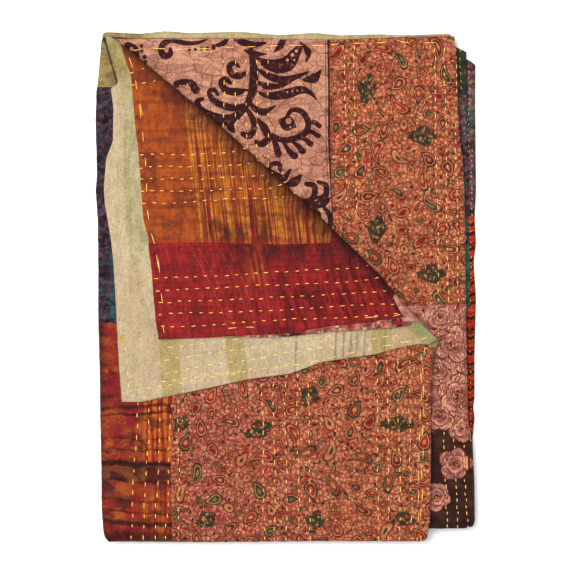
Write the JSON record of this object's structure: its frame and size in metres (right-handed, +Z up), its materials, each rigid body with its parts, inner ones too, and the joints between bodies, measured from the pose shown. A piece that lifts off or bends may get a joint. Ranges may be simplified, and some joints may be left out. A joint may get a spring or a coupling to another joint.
{
  "type": "throw blanket",
  "caption": "Quilted patchwork throw, folded in half and in panels into a flat rectangle, with one free corner turned over along a slanting roll.",
  "frame": {"origin": "middle of the bounding box at the level of the underside, which is the surface the folded throw lies on", "axes": "+Z up out of the stack of layers; +Y towards the open hemmed edges at the top of the picture, with the half fold at -Y; +X towards the free ends at the right of the picture"},
  "size_m": [0.4649, 0.6241, 0.0305],
  "materials": {
    "patchwork_cloth": "matt printed cotton and silk patches with running stitches"
  },
  "bodies": {
    "root": {"throw": "patchwork_cloth"}
  },
  "joints": []
}
